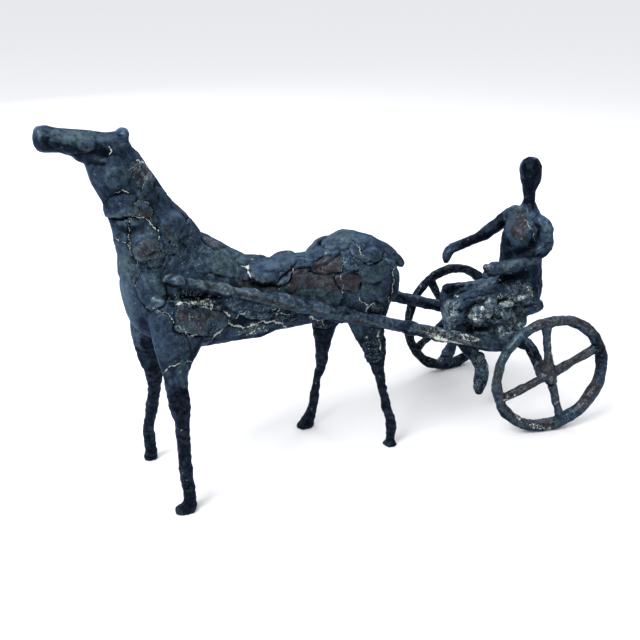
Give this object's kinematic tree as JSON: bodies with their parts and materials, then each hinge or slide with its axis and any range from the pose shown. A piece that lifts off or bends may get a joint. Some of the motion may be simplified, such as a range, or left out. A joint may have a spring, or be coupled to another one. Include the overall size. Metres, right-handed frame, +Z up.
{
  "type": "horse and sulky sculpture",
  "caption": "Cast bronze trotting horse with raised head, harnessed by shafts to a light cart whose seated driver reaches forward.",
  "frame": {"origin": "on the ground, under the middle of the whole work's box", "axes": "+X towards the back of the sulky, so the horse looks towards -X; +Y to the horse's right; +Z up"},
  "size_m": [0.4112, 0.1576, 0.2643],
  "materials": {
    "horse_bronze": "cast bronze with a blue-black patina and pale residue in the seams",
    "sulky_bronze": "cast bronze with a brown-black patina, rubbed on the rods",
    "driver_bronze": "cast bronze with a blue-black patina and green-grey crust",
    "wheel_bronze": "cast bronze with a brown to blue-black patina"
  },
  "bodies": {
    "root": {"horse": "horse_bronze", "sulky": "sulky_bronze", "driver": "driver_bronze", "left_wheel": "wheel_bronze", "right_wheel": "wheel_bronze"}
  },
  "joints": []
}
